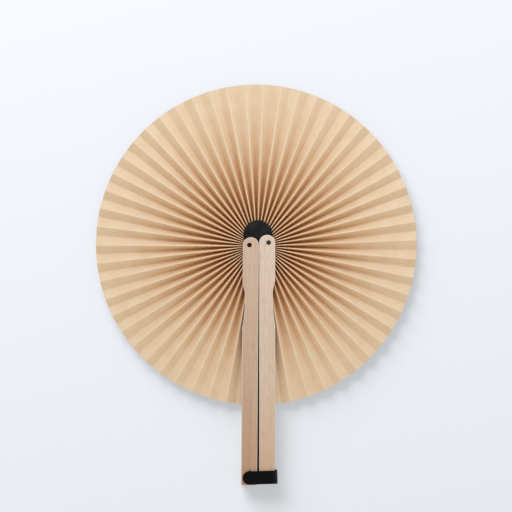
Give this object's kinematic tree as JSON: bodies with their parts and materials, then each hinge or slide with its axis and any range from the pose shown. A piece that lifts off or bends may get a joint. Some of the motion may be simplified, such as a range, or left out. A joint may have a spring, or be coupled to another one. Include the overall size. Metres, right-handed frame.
{
  "type": "round folding fan",
  "caption": "Round pleated paper fan that folds into the grooved bars of its wooden handle, with a black hub at its centre and a swinging latch across the handle's end.",
  "frame": {"origin": "middle of the underside of the whole fan's bounding box, on the surface that the fan lies on", "axes": "+Y along the fan's length, from the handle's end to the top of the leaf; +Z out of the front of the fan, up as it lies; +X to the viewer's right"},
  "size_m": [0.24, 0.2997, 0.0145],
  "materials": {
    "left_bar_wood": "sanded pale wood, unvarnished",
    "right_bar_wood": "sanded pale wood, unvarnished",
    "leaf_paper": "natural kraft paper, pleated",
    "hub_plastic": "matte, moulded",
    "pin_steel": "blackened",
    "sleeve_plastic": "matte, moulded",
    "latch_plastic": "satin, moulded"
  },
  "bodies": {
    "hub": {"hub_front_plate": "hub_plastic", "hub_back_plate": "hub_plastic", "left_pivot_pin": "pin_steel", "right_pivot_pin": "pin_steel", "left_pivot_sleeve": "sleeve_plastic", "right_pivot_sleeve": "sleeve_plastic", "leaf_left": "leaf_paper", "leaf_right": "leaf_paper"},
    "left_bar": {"left_handle": "left_bar_wood", "latch_pin": "pin_steel"},
    "right_bar": {"right_handle": "right_bar_wood"},
    "latch": {"latch": "latch_plastic"}
  },
  "joints": [
    {"name": "left_swing", "type": "hinge", "parent": "hub", "child": "left_bar", "pos_m": [-0.00504, 0.0297, 0.0065], "axis": [0, 0, -1], "range_deg": [0, 179.8], "deforming": ["leaf_left"]},
    {"name": "right_swing", "type": "hinge", "parent": "hub", "child": "right_bar", "pos_m": [0.00924, 0.0315, 0.0065], "axis": [0, 0, 1], "range_deg": [0, 179.8], "deforming": ["leaf_right"]},
    {"name": "latch_swing", "type": "hinge", "parent": "left_bar", "child": "latch", "pos_m": [-0.00521, -0.14421, 0.0065], "axis": [0, 0, -1], "range_deg": [0, 135]}
  ]
}
